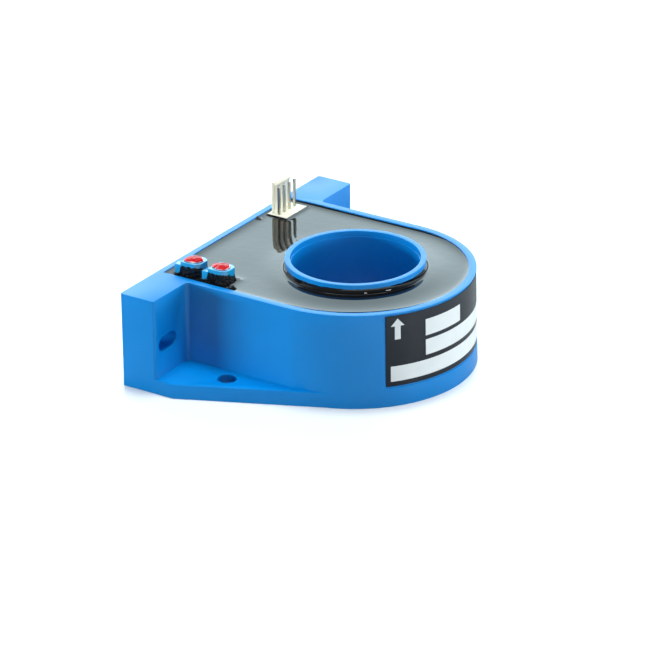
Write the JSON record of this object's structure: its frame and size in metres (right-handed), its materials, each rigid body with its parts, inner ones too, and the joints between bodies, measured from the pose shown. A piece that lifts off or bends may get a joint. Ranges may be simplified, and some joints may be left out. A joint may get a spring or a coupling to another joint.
{
  "type": "hall effect current sensor",
  "caption": "Blue moulded ring-type current sensor with a cable bore, a slotted mounting flange, screw feet, a potted face, pin header and trimmers.",
  "frame": {"origin": "on the axis of the cable bore, in the plane of the flat base", "axes": "+Z along the bore from the base to the potted face with the header, +X from the mounting flange towards the round end, +Y along the flange towards the header side"},
  "size_m": [0.0767, 0.0966, 0.0358],
  "materials": {
    "case_plastic": "moulded satin blue",
    "resin": "poured, mirror gloss black",
    "label_film": "printed film, satin",
    "core_steel": "wound strip steel",
    "black_epoxy": "moulded matt black",
    "tinned_lead": "tinned",
    "board_laminate": "green solder mask",
    "resistor_ceramic": "fired, matt",
    "capacitor_ceramic": "fired, matt",
    "tantalum_epoxy": "moulded matt yellow",
    "solder": "reflowed, bright",
    "ivory_nylon": "moulded satin ivory",
    "tinned_pin": "tinned, bright",
    "trimmer_plastic": "moulded satin blue",
    "rotor_plastic": "moulded satin white",
    "locking_varnish": "dried drop, gloss red"
  },
  "bodies": {
    "root": {"housing": "case_plastic", "potting_resin": "resin", "label": "label_film", "ring_core": "core_steel", "hall_body": "black_epoxy", "hall_leads": "tinned_lead", "circuit_board": "board_laminate", "amplifier_body": "black_epoxy", "amplifier_leads": "tinned_lead", "transistor_bodies": "black_epoxy", "transistor_leads": "tinned_lead", "chip_resistors": "resistor_ceramic", "chip_capacitors": "capacitor_ceramic", "tantalum_capacitors": "tantalum_epoxy", "solder_joints": "solder", "header_wafer": "ivory_nylon", "header_pin_1": "tinned_pin", "header_pin_2": "tinned_pin", "header_pin_3": "tinned_pin", "header_pin_4": "tinned_pin", "offset_trimmer_body": "trimmer_plastic", "offset_trimmer_rotor": "rotor_plastic", "offset_trimmer_varnish": "locking_varnish", "offset_trimmer_leads": "tinned_lead", "gain_trimmer_body": "trimmer_plastic", "gain_trimmer_rotor": "rotor_plastic", "gain_trimmer_varnish": "locking_varnish", "gain_trimmer_leads": "tinned_lead"}
  },
  "joints": []
}
